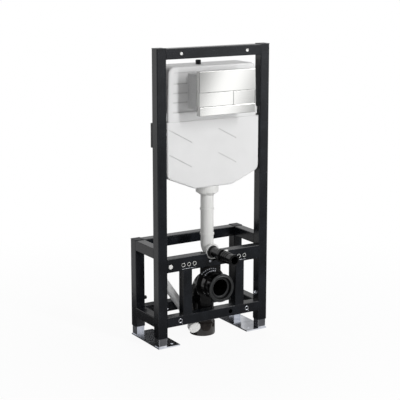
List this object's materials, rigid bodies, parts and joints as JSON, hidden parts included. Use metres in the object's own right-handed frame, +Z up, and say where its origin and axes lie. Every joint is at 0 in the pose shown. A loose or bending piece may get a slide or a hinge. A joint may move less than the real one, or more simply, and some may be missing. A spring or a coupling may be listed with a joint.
{
  "type": "wall-hung toilet frame",
  "caption": "Free-standing black steel frame for a wall-hung toilet, with concealed cistern, dual-flush plate, flush pipe, drain bend and telescopic zinc feet.",
  "frame": {"origin": "on the floor, in the middle of the assembly's width and depth", "axes": "+Z up, -Y to the front where the pan hangs, +X to the right seen from the front"},
  "size_m": [0.5, 0.363, 1.15],
  "materials": {
    "frame_paint": "black powder coat",
    "tube_cap": "moulded black plastic",
    "zinc": "bright zinc plate",
    "cistern_plastic": "white moulded plastic",
    "flush_pipe_plastic": "white plastic pipe",
    "chrome": "polished",
    "shaft_plastic": "white moulded plastic",
    "black_plastic": "black polyethylene"
  },
  "bodies": {
    "frame": {"cistern_body": "cistern_plastic", "cistern_cover": "cistern_plastic", "cistern_outlet_collar": "flush_pipe_plastic", "conduit_cap": "cistern_plastic", "drain_bend": "black_plastic", "drain_hanger": "black_plastic", "drain_pipe": "black_plastic", "drain_socket": "black_plastic", "flush_bend": "flush_pipe_plastic", "flush_connector": "black_plastic", "flush_pipe": "flush_pipe_plastic", "flush_plate": "chrome", "front_lower_rail": "frame_paint", "left_cistern_bracket": "frame_paint", "left_inner_post": "frame_paint", "left_lower_side_rail": "frame_paint", "left_rear_leg": "frame_paint", "left_rear_leg_cap": "tube_cap", "left_top_side_rail": "frame_paint", "left_upright": "frame_paint", "left_upright_cap": "tube_cap", "pan_bolt_crossbar": "frame_paint", "rear_lower_rail": "frame_paint", "rear_top_rail": "frame_paint", "right_cistern_bracket": "frame_paint", "right_inner_post": "frame_paint", "right_lower_side_rail": "frame_paint", "right_rear_leg": "frame_paint", "right_rear_leg_cap": "tube_cap", "right_top_side_rail": "frame_paint", "right_upright": "frame_paint", "right_upright_cap": "tube_cap", "service_conduit": "cistern_plastic", "service_shaft": "shaft_plastic", "top_bar": "frame_paint", "water_inlet": "black_plastic"},
    "left_foot": {"left_front_foot_leg": "zinc", "left_rear_foot_leg": "zinc", "left_foot_plate": "zinc"},
    "right_foot": {"right_front_foot_leg": "zinc", "right_rear_foot_leg": "zinc", "right_foot_plate": "zinc"},
    "full_button": {"full_flush_button": "chrome"},
    "half_button": {"half_flush_button": "chrome"}
  },
  "joints": [
    {"name": "left_foot_slide", "type": "slide", "parent": "frame", "child": "left_foot", "axis": [0, 0, -1], "range_m": [-0.03, 0.16]},
    {"name": "right_foot_slide", "type": "slide", "parent": "frame", "child": "right_foot", "axis": [0, 0, -1], "range_m": [-0.03, 0.16]},
    {"name": "full_flush_press", "type": "slide", "parent": "frame", "child": "full_button", "axis": [0, 1, 0], "range_m": [0, 0.006], "stiffness_N_per_m": 600},
    {"name": "half_flush_press", "type": "slide", "parent": "frame", "child": "half_button", "axis": [0, 1, 0], "range_m": [0, 0.006], "stiffness_N_per_m": 600}
  ]
}
